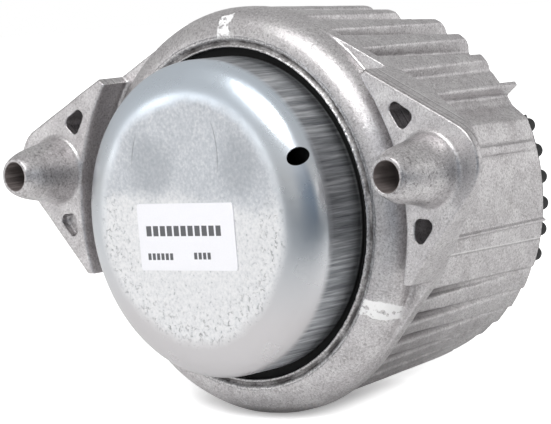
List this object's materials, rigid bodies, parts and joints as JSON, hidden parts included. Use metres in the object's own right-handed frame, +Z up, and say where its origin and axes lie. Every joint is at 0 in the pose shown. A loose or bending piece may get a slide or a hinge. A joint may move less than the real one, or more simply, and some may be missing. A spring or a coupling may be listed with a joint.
{
  "type": "hydraulic engine mount",
  "caption": "Round hydraulic engine mount: a finned die-cast barrel with bolt ears, a drawn steel cap at the front, and a rubber-sprung threaded core at the rear.",
  "frame": {"origin": "on the barrel's axis, in the plane of the housing's front lip round the cap", "axes": "+Y along the barrel's axis from the cap to the threaded core, +X through the right-hand ear, +Z up"},
  "size_m": [0.1758, 0.1025, 0.1174],
  "materials": {
    "die_cast_aluminium": "as-cast, mottled light grey, drafted ribs",
    "zinc_plated_steel": "bright zinc-plated deep-drawn steel with drawing streaks on the side",
    "printed_label": "matt white sticker without text",
    "plain_steel": "plain stamped or turned steel",
    "turned_aluminium": "turned forging",
    "track_aluminium": "small die casting",
    "natural_rubber": "matt black vulcanised rubber"
  },
  "bodies": {
    "root": {"housing": "die_cast_aluminium", "cap": "zinc_plated_steel", "label": "printed_label", "clamp_ring": "plain_steel", "diaphragm": "natural_rubber", "track_body": "track_aluminium", "decoupler": "natural_rubber", "track_cover": "plain_steel", "track_rivets": "plain_steel", "outer_sleeve": "plain_steel", "spring_rubber": "natural_rubber", "core": "turned_aluminium", "thread_insert": "plain_steel", "locating_pin": "plain_steel", "stop_pad_right": "natural_rubber", "stop_pad_left": "natural_rubber"}
  },
  "joints": []
}
